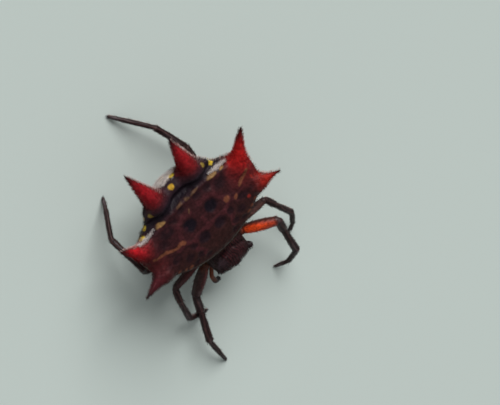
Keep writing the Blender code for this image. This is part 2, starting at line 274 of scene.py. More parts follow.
def fade(values, low, high):
    """1 below low, 0 above high, and an even turn between them."""
    return 1 - smooth(values, low, high)


def hump(values, width):
    """1 where values are 0, sinking to 0 on both sides."""
    return np.exp(-((values / width) ** 2))


def ripple(places, size, seed, count=14):
    """An even, random-looking wave of about this size, between -1 and 1."""
    waves = np.random.default_rng(seed)
    ways = unit(waves.normal(size=(count, 3))) * (math.tau / size)
    ways *= waves.uniform(0.6, 1.5, (count, 1))
    phases = waves.uniform(0, math.tau, count)
    return np.clip(np.sin(places @ ways.T + phases).mean(1) * 2.6, -1, 1)


def surface_of(field, axes):
    """Points and four-cornered faces of the surface where a sampled field is zero."""
    inside = field < 0
    corners = [(i, j, k) for i in (0, 1) for j in (0, 1) for k in (0, 1)]
    count = np.zeros([n - 1 for n in field.shape], np.int8)
    for corner in corners:
        count += inside[tuple(slice(c, n - 1 + c) for c, n in zip(corner, field.shape))]
    active = (count > 0) & (count < 8)
    cells = np.argwhere(active)
    number = np.full(active.shape, -1, np.int32)
    number[active] = np.arange(len(cells))
    total, hits = np.zeros((len(cells), 3)), np.zeros(len(cells))
    for corner in corners:
        for axis in range(3):
            if corner[axis]:
                continue
            step = np.eye(3, dtype=int)[axis]
            here = field[tuple((cells + corner).T)]
            there = field[tuple((cells + corner + step).T)]
            crossed = (here < 0) != (there < 0)
            share = np.where(crossed, here / np.where(crossed, here - there, 1), 0)
            place = np.array(corner) + share[:, None] * step
            total += place * crossed[:, None]
            hits += crossed
    low = np.array([axis[0] for axis in axes])
    step = axes[0][1] - axes[0][0]
    points = low + (cells + total / hits[:, None]) * step
    return points, np.concatenate([faces_across(inside, number, axis) for axis in range(3)])


def faces_across(inside, number, axis):
    """The faces that cut the grid's lines along one axis."""
    side = np.eye(3, dtype=int)[(axis + 1) % 3]
    up = np.eye(3, dtype=int)[(axis + 2) % 3]
    first, second = [slice(1, -1)] * 3, [slice(1, -1)] * 3
    first[axis], second[axis] = slice(0, -1), slice(1, None)
    here, there = inside[tuple(first)], inside[tuple(second)]
    offset = np.ones(3, int)
    offset[axis] = 0
    faces = []
    for chosen, outward in ((here & ~there, True), (there & ~here, False)):
        at = np.argwhere(chosen) + offset
        quad = [number[tuple((at - shift).T)] for shift in (0 * side, side, side + up, up)]
        quad = np.stack(quad if outward else quad[::-1], 1)
        faces.append(quad)
    return np.concatenate(faces)


def tube_distance(places, points, radii):
    """How far places lie outside a tube through the points."""
    nearest = None
    for start, end, first, last in zip(points, points[1:], radii, radii[1:]):
        along = end - start
        share = np.clip((places - start) @ along / (along @ along), 0, 1)
        away = np.linalg.norm(places - start - share[..., None] * along, axis=-1)
        away -= first + (last - first) * share
        nearest = away if nearest is None else np.minimum(nearest, away)
    return nearest


def join_tube(field, axes, points, radii, blend):
    """Joins a tube to a sampled field, rounding the corner between them."""
    reach = max(radii) + 2 * blend
    low, high = points.min(0) - reach, points.max(0) + reach
    block = tuple(
        slice(*np.searchsorted(axis, (near, far))) for axis, near, far in zip(axes, low, high)
    )
    places = np.stack(np.meshgrid(*[a[b] for a, b in zip(axes, block)], indexing="ij"), -1)
    away = tube_distance(places, points, radii)
    other = field[block]
    share = np.clip(0.5 + 0.5 * (other - away) / blend, 0, 1)
    field[block] = other + (away - other) * share - blend * share * (1 - share)


def as_distance(field, step):
    """A sampled field scaled so that it grows evenly away from its surface."""
    slopes = np.gradient(field, step)
    steepness = np.sqrt(sum(slope * slope for slope in slopes))
    return field / np.maximum(steepness, 0.05)


def blended(field_at, box, step, reach, tubes):
    """The surface of a shape given as a field, with tubes joined to it."""
    axes = [np.arange(low, high + step, step, dtype=np.float32) for low, high in zip(*box)]
    x, y, z = np.meshgrid(*axes, indexing="ij", sparse=True)
    field = np.clip(as_distance(field_at(x, y, z), step), -reach, reach)
    for points, radii, blend in tubes:
        join_tube(field, axes, points, radii, blend)
    return surface_of(field, axes)


def new_mesh(name, points, *faces):
    """A mesh from points in millimetres and arrays of faces."""
    mesh = bpy.data.meshes.new(name)
    mesh.from_pydata(points * MM, [], [face for array in faces for face in array.tolist()])
    mesh.validate()
    mesh.shade_smooth()
    return mesh


def normals_of(points, faces):
    """The way out of a surface at each of its points."""
    rough = new_mesh("rough", points, faces)
    values = np.zeros(points.size, np.float32)
    rough.vertices.foreach_get("normal", values)
    bpy.data.meshes.remove(rough)
    return values.reshape(-1, 3).astype(float)


def set_map(mesh, places):
    """Gives the mesh its bake map, from a place for each point."""
    layer = mesh.uv_layers.new(name="OFBake")
    corners = np.zeros(len(mesh.loops), np.int32)
    mesh.loops.foreach_get("vertex_index", corners)
    layer.data.foreach_set("uv", np.clip(places, 0.001, 0.999)[corners].astype(np.float32).ravel())


def placed(name, data):
    """A new object in the scene."""
    made = bpy.data.objects.new(name, data)
    bpy.context.scene.collection.objects.link(made)
    return made


def new_piece(mesh, material, colours, nodes=()):
    """A piece named like its mesh, with one colour or a colour for each point."""
    layer = mesh.color_attributes.new("markings", "FLOAT_COLOR", "POINT")
    filled = np.ones((len(mesh.vertices), 4), np.float32)
    filled[:, :3] = colours
    layer.data.foreach_set("color", filled.ravel())
    mesh.materials.append(material)
    made = placed(mesh.name, mesh)
    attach(made, BODY)
    if nodes:
        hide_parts(*nodes)


def set_inputs(node, **values):
    """Sets a node's sockets; the socket From Min is given as From_Min."""
    for socket, value in values.items():
        node.inputs[socket.replace("_", " ")].default_value = value


def shell(name, roughness, grain, grain_depth, coat=0.0, specular=0.5, mottling=0.4):
    """A shell or bristle that takes its markings from the mesh, with a fine grain."""
    made = bpy.data.materials.new(name)
    made.use_nodes = True
    nodes = made.node_tree.nodes
    shader = nodes["Principled BSDF"]
    set_inputs(shader, Coat_Weight=coat, Coat_Roughness=0.25, Specular_IOR_Level=specular)
    place = nodes.new("ShaderNodeTexCoord")
    colour = nodes.new("ShaderNodeAttribute")
    colour.attribute_name = "markings"
    mottle = nodes.new("ShaderNodeTexNoise")
    set_inputs(mottle, Scale=0.6 * grain, Detail=4)
    strength = nodes.new("ShaderNodeMapRange")
    set_inputs(strength, From_Min=0.25, From_Max=0.75, To_Min=1 - mottling, To_Max=1 + mottling)
    tinted = nodes.new("ShaderNodeVectorMath")
    tinted.operation = "SCALE"
    fine = nodes.new("ShaderNodeTexNoise")
    set_inputs(fine, Scale=grain, Detail=5, Roughness=0.6)
    polish = nodes.new("ShaderNodeMapRange")
    set_inputs(polish, From_Min=0.3, From_Max=0.7, To_Min=0.75 * roughness, To_Max=1.25 * roughness)
    bump = nodes.new("ShaderNodeBump")
    set_inputs(bump, Strength=1.0, Distance=grain_depth)
    for source, output, target, socket in (
        (place, "Object", mottle, "Vector"),
        (mottle, "Fac", strength, "Value"),
        (colour, "Color", tinted, 0),
        (strength, "Result", tinted, "Scale"),
        (tinted, "Vector", shader, "Base Color"),
        (place, "Object", fine, "Vector"),
        (fine, "Fac", polish, "Value"),
        (polish, "Result", shader, "Roughness"),
        (fine, "Fac", bump, "Height"),
        (bump, "Normal", shader, "Normal"),
    ):
        made.node_tree.links.new(source.outputs[output], target.inputs[socket])
    return made


def bristles(name, roots, ways, bends, lengths, radii, colours, places, material):
    """Tapering, slightly curved bristles, joined in one piece. places are map places."""
    count = len(roots)
    radii = np.broadcast_to(radii, count)
    ways = unit(ways)
    side = unit(np.cross(ways, seeded.normal(size=(count, 3))))
    other = np.cross(ways, side)
    rings = []
    for share, width in ((0, 1.0), (0.5, 0.72)):
        middle = roots + ways * (lengths * share)[:, None]
        middle += bends * (lengths * share * share)[:, None]
        for corner in range(3):
            turn = corner * math.tau / 3
            out = side * math.cos(turn) + other * math.sin(turn)
            rings.append(middle + out * (radii * width)[:, None])
    rings.append(roots + (ways + bends) * lengths[:, None])
    points = np.stack(rings, 1).reshape(-1, 3)
    first = (np.arange(count) * 7)[:, None]
    quads = [first + (c, (c + 1) % 3, 3 + (c + 1) % 3, 3 + c) for c in range(3)]
    tips = [first + (3 + c, 3 + (c + 1) % 3, 6) for c in range(3)]
    feet = first + (2, 1, 0)
    mesh = new_mesh(name, points, np.concatenate(quads), np.concatenate([*tips, feet]))
    spread = np.array([(0, 0), (1, 0), (0.5, 1), (0, 0.4), (1, 0.4), (0.5, 0.6), (0.5, 0.5)])
    set_map(mesh, np.repeat(places, 7, axis=0) + np.tile(spread, (count, 1)) * 0.003)
    new_piece(mesh, material, np.repeat(colours, 7, axis=0))


def stray(ways, spread):
    """Ways, each turned a little at random."""
    return ways + seeded.normal(size=ways.shape) * spread


def picked(density, most):
    """Random points, by number, drawn more often where their density is higher."""
    weight = np.clip(density, 0, None)
    return seeded.choice(len(weight), size=most, p=weight / weight.sum())


# The abdomen.


def past_groove(x, y):
    """How far a place, with y counted from the plate's middle, lies behind the groove."""
    return y - GROOVE_BACK + GROOVE_CURVE * x**2


def plate_relief(x, y):
    """Height added to the plate's upper side."""
    past = past_groove(x, y)
    cut = -GROOVE_DEPTH * hump(past, GROOVE_WIDTH) * fade(np.abs(x), 3.4, 4.1)
    crest = RIDGE_LIFT * hump(past + RIDGE_AHEAD, 0.16)
    return cut + crest * (0.4 + 0.6 * np.abs(x) / 4)


def abdomen_field(x, y, z):
    """Below 0 inside the abdomen and above 0 outside it."""
    y = y - ABDOMEN_Y
    across = x / HALF_WIDTH
    level = y / np.where(y > 0, REAR_LENGTH, FRONT_LENGTH)
    margin = MARGIN + CORNER_RISE * across**2 - REAR_DROP * np.clip(level, 0, None) ** 2
    above = z > margin
    over = (z - plate_relief(x, y) - margin) / (TOP - margin)
    under = (z - margin) / (margin - BOTTOM)
    height = np.where(above, np.clip(over, 0, None), under)
    back = y + VENTER_SHIFT * np.clip(under, None, 0)
    along = back / np.where(back > 0, REAR_LENGTH, FRONT_LENGTH)
    bearing = np.arctan2(along, across)
    bulge = REAR_BULGE * hump(bearing - math.pi / 2, REAR_BULGE_SPREAD)
    waist = WAIST_PINCH * hump(np.arctan2(along, np.abs(across)) - WAIST_BEARING, WAIST_SPREAD)
    reach = np.hypot(across, along) / (1 - waist + bulge)
    under_edge = hump(under + 0.045, 0.03) * 0.018
    folds = 0.006 * np.sin(22 * bearing) * hump(under + 0.35, 0.2)
    power = np.where(above, PLATE_SQUARENESS, VENTER_SQUARENESS)
    size = (reach**power + np.abs(height) ** power) ** (1 / power)
    return (size - 1 + under_edge + folds).astype(np.float32)


def thorn_line(name, side):
    """The middle line and radii of a thorn."""
    length, lean, rise, radius, taper, _, _ = THORNS[name, side]
    start, along = own_side(THORN_ROOTS[name], side), heading(side, 90 + lean, rise)
    shares = np.linspace(0, 1, THORN_STEPS + 1)
    points = start + along * (length * shares)[:, None]
    points[:, 2] += THORN_BEND * length * shares**2
    return points, THORN_TIP + (radius - THORN_TIP) * (1 - shares) ** taper


# Marks on the plate: place from the plate's middle, half length, half width and turn.
MEDIAN_PITS = [(0.88, 0.02, 0.46, 0.42, 0), (0.67, -1.27, 0.42, 0.36, 0)]
MAROON_PITS = [
    (2.25, 0.72, 0.55, 0.36, -8),
    (3.05, 0.3, 0.5, 0.26, 10),
    (3.45, -0.15, 0.42, 0.16, 5),
    (1.5, -2.0, 0.24, 0.18, 0),
    (2.2, -1.7, 0.34, 0.24, -20),
    (2.85, -1.1, 0.36, 0.22, -10),
    (1.45, 1.12, 0.36, 0.22, 0),
    (0.7, 1.2, 0.32, 0.17, 0),
    (3.6, -1.05, 0.3, 0.16, 0),
    (1.1, -2.45, 0.26, 0.15, 10),
    (2.0, -2.3, 0.22, 0.13, -15),
    (1.55, -1.2, 0.26, 0.2, 30),
]
RIDGE_MARKS = [
    (2.17, 1.4, 0.38, 0.13, -4),
    (2.93, 1.3, 0.19, 0.12, 0),
    (-2.2, 1.38, 0.31, 0.1, 4),
]
OLIVE_MARKS = [
    (0.68, 1.52, 0.34, 0.09, 3),
    (0.06, 1.5, 0.15, 0.08, 0),
    (-0.62, 1.5, 0.25, 0.11, 0),
    (-0.36, 0.81, 0.16, 0.07, 51),
]
FRONT_MARKS = [
    (3.25, -1.95, 0.14, 0.1, 0),
    (2.5, -2.28, 0.16, 0.1, -20),
    (2.85, -2.1, 0.12, 0.09, 0),
]
RED_MARKS = [(3.96, -0.56, 0.07, 0.16, 0), (3.04, -1.47, 0.11, 0.1, 0), (1.62, 1.95, 0.12, 0.1, 0)]
WASHES = [(3.6, 0.1, 0.975, 0.845, 0), (-4.1, -0.4, 0.845, 0.78, 0)]
TAN_SPOTS = [
    (2.42, -0.78, 0.2, 0.13, 50),
    (1.88, -0.41, 0.19, 0.17, 0),
    (-1.9, -0.5, 0.15, 0.13, 0),
]
STRIPES = [
    ((3.95, 0.12), (3.55, -0.15), (3.05, -0.4)),
    ((-3.95, 0.05), (-3.1, -0.22), (-2.35, -0.53), (-1.95, -0.45)),
]
NETWORK_LINES = [
    ((0, -0.85), (0.6, -0.9), (1.3, -0.95), (1.9, -0.6), (2.4, -0.72)),
    ((1.9, -0.55), (1.7, 0.05), (1.42, 0.55), (1.0, 0.74), (0.4, 0.72)),
    ((0, -0.85), (0, -0.2)),
    ((1.42, 0.55), (2.4, 1.2)),
    ((1.3, -0.95), (1.5, -1.5), (1.2, -2.1)),
]
# The spots behind the groove: place, radius and colour.
REAR_SPOTS = [
    ((-0.15, 5.0, 4.76), 0.21, DEEP_YELLOW),
    ((0.36, 5.35, 4.32), 0.17, YELLOW),
    ((-0.18, 5.35, 3.82), 0.2, CREAM),
    ((2.19, 4.62, 4.88), 0.19, OLIVE),
    ((2.75, 4.11, 4.31), 0.22, YELLOW),
    ((-2.31, 4.53, 4.75), 0.19, OLIVE),
    ((-2.63, 4.32, 3.93), 0.14, CREAM),
    ((-2.98, 3.88, 4.03), 0.2, YELLOW),
    ((-3.54, 3.67, 4.4), 0.22, YELLOW),
]
# The white fringe from the ends of the ridge to the side thorns, thinner at its ends: white hairs
# whose whiteness is partly a painted backlight highlight.
FRINGES = [
    ((2.08, 3.84, 4.8), (2.68, 3.74, 4.7), (3.4, 3.62, 4.58)),
    ((-2.71, 3.68, 4.73), (-3.42, 3.56, 4.72), (-4.0, 3.75, 5.02)),
]
FRINGE_RADII = (-0.08, 0.03, -0.03)
# The pale rim at the back, pale in colour and partly a painted backlight highlight: its middle and
# reach in x and z.
RIM_MIDDLE = (-0.15, 4.0)
RIM_REACH = (1.05, 0.52)


def spot(x, y, mark, soft=0.25):
    """1 inside an oval mark, 0 outside it."""
    middle_x, middle_y, half_length, half_width, turn = mark
    turn = math.radians(turn)
    along = (x - middle_x) * math.cos(turn) + (y - middle_y) * math.sin(turn)
    across = (y - middle_y) * math.cos(turn) - (x - middle_x) * math.sin(turn)
    return fade(np.hypot(along / half_length, across / half_width), 1 - soft, 1 + soft)


def line_mask(x, y, line, half_width, soft=0.5):
    """1 along a line of places, 0 away from it."""
    away = tube_distance(np.stack([x, y], 1), np.array(line, float), np.zeros(len(line)))
    return fade(away / half_width, 1 - soft, 1 + soft)


def paint(colours, mask, colour, strength=1.0):
    share = np.clip(mask, 0, 1)[:, None] * strength
    colours += (colour - colours) * share


def paint_marks(colours, x, y, marks, soft, colour, strength, within=1.0):
    for mark in marks:
        paint(colours, spot(x, y, mark, soft) * within, colour, strength)


def paint_thorns(colours, places):
    """Colours the thorns and the shell round them; returns how thorny each place is."""
    thorny = np.zeros(len(places))
    for (name, side), (length, *_, red, red_start) in THORNS.items():
        points, radii = thorn_line(name, side)
        along = unit(points[-1] - points[0])
        share = (places - points[0]) @ along / length
        shifted = share - red_start * (1 - np.clip(share, 0, 1))
        behind = np.array([points[0] - along * 0.4 * length, points[0]])
        away = tube_distance(places, points, radii)
        back = tube_distance(places, behind, np.full(2, 0.35))
        near = np.where(share > 0.1, fade(away, 0.2, 0.5), 0)
        near = np.maximum(near, fade(back, 0.0, 1.0))
        cover = near * np.interp(shifted, THORN_SHARES, THORN_COVER)
        level = np.interp(shifted, THORN_SHARES, THORN_LEVEL)[:, None]
        tint = np.array(red) * level
        tint += np.array(WASH) * fade(shifted, 0.0, 0.4)[:, None] * 0.4
        tint += np.array(TIP_BLACK) * 0.6
        colours += (tint - colours) * cover[:, None]
        thorny = np.maximum(thorny, near * smooth(share, 0.0, 0.2) * (share < 0.97))
    return thorny


def paint_rear(colours, places, thorny):
    """The dark back, its pale slit rim, which is partly a painted backlight highlight, and its
    yellow spots.
    """
    x, y, z = (places - (0, ABDOMEN_Y, 0)).T
    past = past_groove(x, y)
    dark = smooth(past, 0.0, 0.25) * (1 - thorny) * fade(np.abs(x), 3.2, 3.8)
    paint(colours, dark * smooth(z, 2.6, 3.8), GROOVE_BLACK, 0.6)
    rim = rear_rim(places)
    # The pale rim is pale cuticle and partly a painted backlight highlight.
    paint(colours, rim * (1 - thorny), PALE_RIM_AND_BACKLIGHT)
    folds = smooth(ripple(places * (0.6, 1, 2.2), 0.4, 13), 0.1, 0.6)
    paint(colours, folds * rim, MAROON_SPOT, 0.7)
    uneven = 1 + 0.2 * ripple(places, 0.3, 6)
    for middle, radius, colour in REAR_SPOTS:
        nearest = places[np.argmin(apart(places, middle))]
        away = apart(places, nearest) * uneven
        paint(colours, fade(away / radius, 0.7, 1.2), colour)


def rear_rim(places):
    """1 on the pale, blotchy rim between the rear thorns, which is partly a painted backlight
    highlight; 0 elsewhere.
    """
    away = np.hypot(*((places[:, ::2] - RIM_MIDDLE) / RIM_REACH).T)
    away += 0.16 * ripple(places, 0.5, 9) + 0.12 * ripple(places, 0.22, 10)
    return fade(away, 0.72, 1.05) * smooth(places[:, 1] - ABDOMEN_Y, 2.2, 2.5)


def fringe_mask(places, half_width):
    """1 along the white fringe, 0 away from it."""
    nearest = [tube_distance(places, np.array(line), FRINGE_RADII) for line in FRINGES]
    away = np.minimum(*nearest) + 0.05 * ripple(places, 0.16, 14) + 0.03 * ripple(places, 0.07, 15)
    return fade(away / half_width, 0.0, 1.5)


def paint_ridge(colours, places, x, y, upper):
    """The groove, the tan marks on the ridge before it and the fringe's white skin, which is partly
    a painted backlight highlight.
    """
    past = past_groove(x, y)
    wide = fade(np.abs(x), 2.9, 3.5) * upper
    paint(colours, 1.3 * hump(past - 0.05, 0.36) * wide, GROOVE_BLACK)
    slope = hump(past + 0.2, 0.16) * fade(np.abs(x), 1.8, 2.6)
    paint(colours, slope * upper, DARK_SPOT, 0.75)
    paint_marks(colours, x, y, RIDGE_MARKS, 0.35, TAN, 0.85, upper)
    paint_marks(colours, x, y, OLIVE_MARKS, 0.45, RIDGE_OLIVE, 0.8, upper)
    uneven = np.clip(0.45 + 0.6 * ripple(places, 0.12, 7), 0.1, 1)
    # The fringe's white skin is partly a painted backlight highlight.
    paint(colours, fringe_mask(places, 0.08) * uneven, PALE_RIM_AND_BACKLIGHT, 0.8)


def paint_plate(colours, x, y):
    """The network, the pits and the tan marks before the ridge."""
    mirrored = np.abs(x)
    paint(colours, smooth(-y, 0.4, 2.2), FRONT_GROUND)
    for line in NETWORK_LINES:
        paint(colours, line_mask(mirrored, y, line, 0.17), NETWORK, 0.75)
    paint_marks(colours, mirrored, y, MAROON_PITS, 0.4, MAROON_SPOT, 0.8)
    for mark, strength in zip(MEDIAN_PITS, (1.0, 0.75)):
        paint(colours, spot(mirrored, y, mark, 0.3), DARK_SPOT, strength)
    paint_marks(colours, mirrored, y, FRONT_MARKS, 0.6, STRIPE_TAN, 0.6)


def paint_flank(colours, places, normals, thorny):
    """The dark speckled underside and the thin olive line round the plate's margin."""
    x, y = places[:, 0], places[:, 1] - ABDOMEN_Y
    flank = smooth(-normals[:, 2], -0.15, 0.35) * (1 - thorny)
    paint(colours, flank, VENTER)
    line = hump(normals[:, 2] - 0.52, 0.16) * (places[:, 2] > 4.0)
    front = smooth(-y, 2.4, 2.8) * (0.5 + 0.5 * smooth(np.abs(x), 0.7, 1.3))
    side = smooth(-y, -0.2, 0.1) * smooth(np.abs(x), 3.7, 4.0) * 0.7
    paint(colours, line * np.maximum(front, side) * (1 - thorny), MARGIN_OLIVE)
    below = places[:, 2] < 3.8
    speckle = smooth(ripple(places, 0.9, 8), 0.5, 0.75) * below
    paint(colours, speckle, VENTER_SPOT, 0.5)


def abdomen_colours(places, normals):
    """The colour of each place, and how thorny it is."""
    wave = np.stack([ripple(places, 0.5, seed) for seed in (3, 4)], 1) * 0.045
    x, y = (places[:, :2] - (0, ABDOMEN_Y) + wave).T
    colours = np.tile(GROUND, (len(places), 1))
    paint_plate(colours, x, y)
    for mark, strength in zip(WASHES, (0.45, 0.4)):
        paint(colours, spot(x, y, mark, 0.5385), WASH, strength)
    blotches = smooth(ripple(places, 0.7, 5), 0.2, 0.9)
    paint(colours, blotches * (np.abs(y) < 1.3), NETWORK, 0.3)
    thorny = paint_thorns(colours, places)
    paint_flank(colours, places, normals, thorny)
    upper = smooth(normals[:, 2], -0.2, 0.1)
    for line in STRIPES:
        paint(colours, line_mask(x, y, line, 0.11) * upper, STRIPE_TAN, 0.85)
    paint_marks(colours, x, y, TAN_SPOTS, 0.4, STRIPE_TAN, 0.85, upper)
    paint_marks(colours, x, y, RED_MARKS, 0.55, RED_SPOT, 0.75, upper)
    paint_ridge(colours, places, x, y, upper)
    paint_rear(colours, places, thorny)
    return colours, thorny


def dent_plate(places, normals):
    """Pits, raised rims and wrinkles on the plate's upper side."""
    x, y = np.abs(places[:, 0]), places[:, 1] - ABDOMEN_Y
    depth = np.zeros(len(places))
    for mark in MEDIAN_PITS:
        wide = (*mark[:2], mark[2] * 1.3, mark[3] * 1.3, mark[4])
        depth += 0.05 * spot(x, y, wide, 0.3) - 0.13 * spot(x, y, mark, 0.6)
    for mark in MAROON_PITS:
        depth -= 0.05 * spot(x, y, mark, 0.7)
    for mark in RIDGE_MARKS[:1] + FRONT_MARKS + OLIVE_MARKS[:1]:
        depth += 0.02 * spot(x, y, mark, 0.5)
    for line in NETWORK_LINES:
        depth += 0.02 * line_mask(x, y, line, 0.2, 0.8)
    depth += 0.018 * ripple(places, 0.55, 11) + 0.008 * ripple(places, 0.2, 12)
    upper = smooth(normals[:, 2], 0.2, 0.6)
    return places + normals * (depth * upper - 0.02)[:, None]


def abdomen_map(places, normals):
    """Each place on a flat map: the upper side on the left half, the lower on the right."""
    across = (places[:, 0] + 6.2) / 12.4
    back = (places[:, 1] + 1.2) / 10.4
    lower = normals[:, 2] < 0
    return np.stack([across * 0.49 + 0.5 * lower, back], 1)


def make_abdomen(material, dark_hair, pale_hair):
    thorns = [(*thorn_line(name, side), THORN_BLEND) for name, side in THORNS]
    points, faces = blended(abdomen_field, ABDOMEN_BOX, SKIN_STEP, 2, thorns)
    points = dent_plate(points, normals_of(points, faces))
    normals = normals_of(points, faces)
    colours, thorny = abdomen_colours(points, normals)
    mesh = new_mesh("abdomen_skin", points, faces)
    nodes = [f"spine_{name}_{side}" for name, side in THORNS]
    new_piece(mesh, material, colours, ("abdomen", *nodes))
    fuzz_abdomen(points, normals, colours, thorny, dark_hair)
    fringe_abdomen(points, normals, pale_hair)


def sown(points, density, most):
    """Random roots on the abdomen: the number of the nearest point, and the place."""
    chosen = picked(density, most)
    return chosen, points[chosen] + seeded.uniform(-0.5, 0.5, (most, 3)) * SKIN_STEP


def fuzz_abdomen(points, normals, colours, thorny, material):
    """Short down, thickest on the thorns and round the margin, with a painted rim highlight on some
    hairs that face the light from behind.
    """
    edge = hump(normals[:, 2], 0.35) * (points[:, 2] > 3.9)
    density = 0.2 + 1.2 * edge + 1.3 * thorny
    density[points[:, 2] < 2.0] = 0
    density *= 1 - np.maximum(rear_rim(points), fringe_mask(points, 0.12))
    most, shortest, longest, radius = HAIRS["down"]
    chosen, roots = sown(points, density, most)
    out = normals[chosen]
    flow = unit(np.stack([roots[:, 0] * 0.4, roots[:, 1] - 1.5, 0 * roots[:, 0]], 1))
    ways = stray(out + 0.55 * flow, 0.22)
    lengths = seeded.uniform(shortest, longest, most) * (1 + 0.3 * edge[chosen])
    shade = colours[chosen] * 0.85 + np.array(DARK_HAIR) * 0.2
    # Hairs that face the light from behind are painted pale: a painted rim highlight.
    behind = smooth(out @ unit(BACKLIGHT_WAY), 0.3, 0.7) * (roots[:, 2] > 3.9)
    pale = behind * (seeded.uniform(size=most) < 0.4)
    paint(shade, pale, HAIR_HIGHLIGHT)
    lengths *= 1 + 0.4 * pale
    radii = radius + 0.002 * np.clip(edge + thorny, 0, 1)[chosen]
    places = abdomen_map(roots, out)
    bristles("abdomen_down", roots, ways, 0.15 * flow, lengths, radii, shade, places, material)


def fringe_abdomen(points, normals, material):
    """White hairs along the fringes and, fewer, on the pale rim; their white is partly a painted
    backlight highlight.
    """
    density = 1.1 * fringe_mask(points, 0.14) + 0.3 * rear_rim(points)
    most, shortest, longest, radius = HAIRS["fringe"]
    chosen, roots = sown(points, density, most)
    out = normals[chosen]
    back = np.tile((0.0, 1.0, 0.35), (most, 1))
    back[:, 0] = 0.35 * np.sign(roots[:, 0])
    ways = stray(0.8 * out + 0.6 * back, 0.3)
    lengths = seeded.uniform(shortest, longest, most)
    shade = WHITE_BACKLIT_HAIR * seeded.uniform(0.7, 1, (most, 1))
    places = abdomen_map(roots, out)
    bristles("ridge_fringe", roots, ways, 0 * ways, lengths, radius, shade, places, material)


# Head and thorax.


def carapace_field(x, y, z):
    """Below 0 inside the carapace and above 0 outside it."""
    x, y, z = [values - middle for values, middle in zip((x, y, z), CARAPACE_CENTRE)]
    brow = np.where(x > 0, BROW_SQUARENESS["left"], BROW_SQUARENESS["right"])
    squareness = np.where(y > 0, CARAPACE_SQUARENESS, brow)
    across, along = np.abs(x) / CARAPACE_HALF_WIDTH, y / CARAPACE_HALF_LENGTH
    across = across * (1 + 0.06 * np.clip(along, 0, None))
    reach = (across**squareness + np.abs(along) ** squareness) ** (1 / squareness)
    squareness = CARAPACE_SQUARENESS
    pit_x, pit_y, pit_long, pit_wide, pit_deep = PIT
    from_pit = np.hypot((x - pit_x) / pit_long, (y + CARAPACE_CENTRE[1] - pit_y) / pit_wide)
    neck = 0.07 * hump(y - 0.15 + 0.55 * np.abs(x), 0.14) * (np.abs(x) > 0.1)
    lowered = z + pit_deep * hump(from_pit, 1) + neck
    tall = CARAPACE_HEIGHT - NAPE_DROP * np.clip(along, 0, None)
    height = np.where(z > 0, np.clip(lowered, 0, None) / tall, -z / CARAPACE_DEPTH)
    size = (reach**squareness + height**squareness) ** (1 / squareness)
    return (size - 1).astype(np.float32)


def make_carapace(material, hairs):
    hills = []
    for place, radius, blend in EYE_HILLS.values():
        line = np.array(place) + [(0, 0, 0), (0, -0.02, 0.01)]
        hills.append((line, np.full(2, radius), blend))
    points, faces = blended(carapace_field, CARAPACE_BOX, CARAPACE_STEP, 1, hills)
    ribs = np.sin(points[:, 0] * 38 + 3 * ripple(points, 0.9, 21) + 4 * points[:, 1])
    depth = 0.006 * ribs + 0.012 * ripple(points, 0.3, 22)
    points = points + normals_of(points, faces) * depth[:, None]
    normals = normals_of(points, faces)
    colours = np.tile(HEAD, (len(points), 1))
    middle = fade(np.abs(points[:, 0] - 0.25), 0.5, 1.0)
    paint(colours, middle * (0.5 + 0.5 * ribs), HEAD_RED)
    # A painted sheen on the right side of the head.
    sheen = np.linalg.norm((points - (-0.8, -2.25, 3.2)) / (0.5, 0.6, 0.8), axis=1)
    paint(colours, fade(sheen, 0.3, 1.0), HEAD_SHEEN, 0.8)
    paint(colours, smooth(-points[:, 1], 2.85, 3.0), TIP_BLACK, 0.8)
    for place, _, _ in EYE_HILLS.values():
        paint(colours, fade(apart(points, place), 0.2, 0.35), TIP_BLACK, 0.7)
    mesh = new_mesh("carapace_skin", points, faces)
    new_piece(mesh, material, colours, ("carapace",))
    fuzz_carapace(points, normals, hairs)


def head_map(places, normals):
    across = (places[:, 0] + 1.8) / 3.6
    back = (places[:, 1] + 3.6) / 3.8
    return np.stack([across * 0.49 + 0.5 * (normals[:, 2] < 0), back], 1)


def fuzz_carapace(points, normals, material):
    """Fine pale and dark hairs that lie forwards over the head."""
    density = smooth(normals[:, 2], -0.3, 0.3)
    for name in EYES:
        for side in SIDES:
            density = density * smooth(apart(points, eye_place(name, side)), 0.12, 0.2)
    most, shortest, longest, radius = HAIRS["head"]
    chosen = picked(density, most)
    roots, out = points[chosen], normals[chosen]
    flow = np.tile((0.0, -1.0, 0.0), (most, 1))
    flow[:, 0] = -0.5 * roots[:, 0]
    ways = stray(0.3 * out + flow, 0.15)
    lengths = seeded.uniform(shortest, longest, most)
    pale = (seeded.uniform(size=most) < 0.3)[:, None]
    shade = np.where(pale, HEAD_HAIR, DARK_HAIR)
    places = head_map(roots, out)
    bristles("carapace_hairs", roots, ways, -0.1 * out, lengths, radius, shade, places, material)


def eye_place(name, side):
    if side == "right" and name in RIGHT_SIDE_EYES:
        return np.array(RIGHT_SIDE_EYES[name])
    return own_side(EYES[name][0], side)


def make_eyes(material):
    points, faces = ball(18, 28)
    for name, (_, radius) in EYES.items():
        for side in SIDES:
            node = f"eye_{name}_{side}"
            mesh = new_mesh(node + "_lens", eye_place(name, side) + points * radius, faces)
            new_piece(mesh, material, EYE_BLACK, (node,))


def ball(rings, segments):
    """A round ball of radius 1, with small open poles closed to a point."""
    tilt = np.linspace(-math.pi / 2, math.pi / 2, rings + 1)[:, None]
    turn = np.arange(segments)[None, :] * math.tau / segments
    x, y = np.cos(tilt) * np.cos(turn), np.cos(tilt) * np.sin(turn)
    z = np.sin(tilt) + 0 * turn
    return np.stack([x, y, z], -1).reshape(-1, 3), ring_faces(rings + 1, segments)


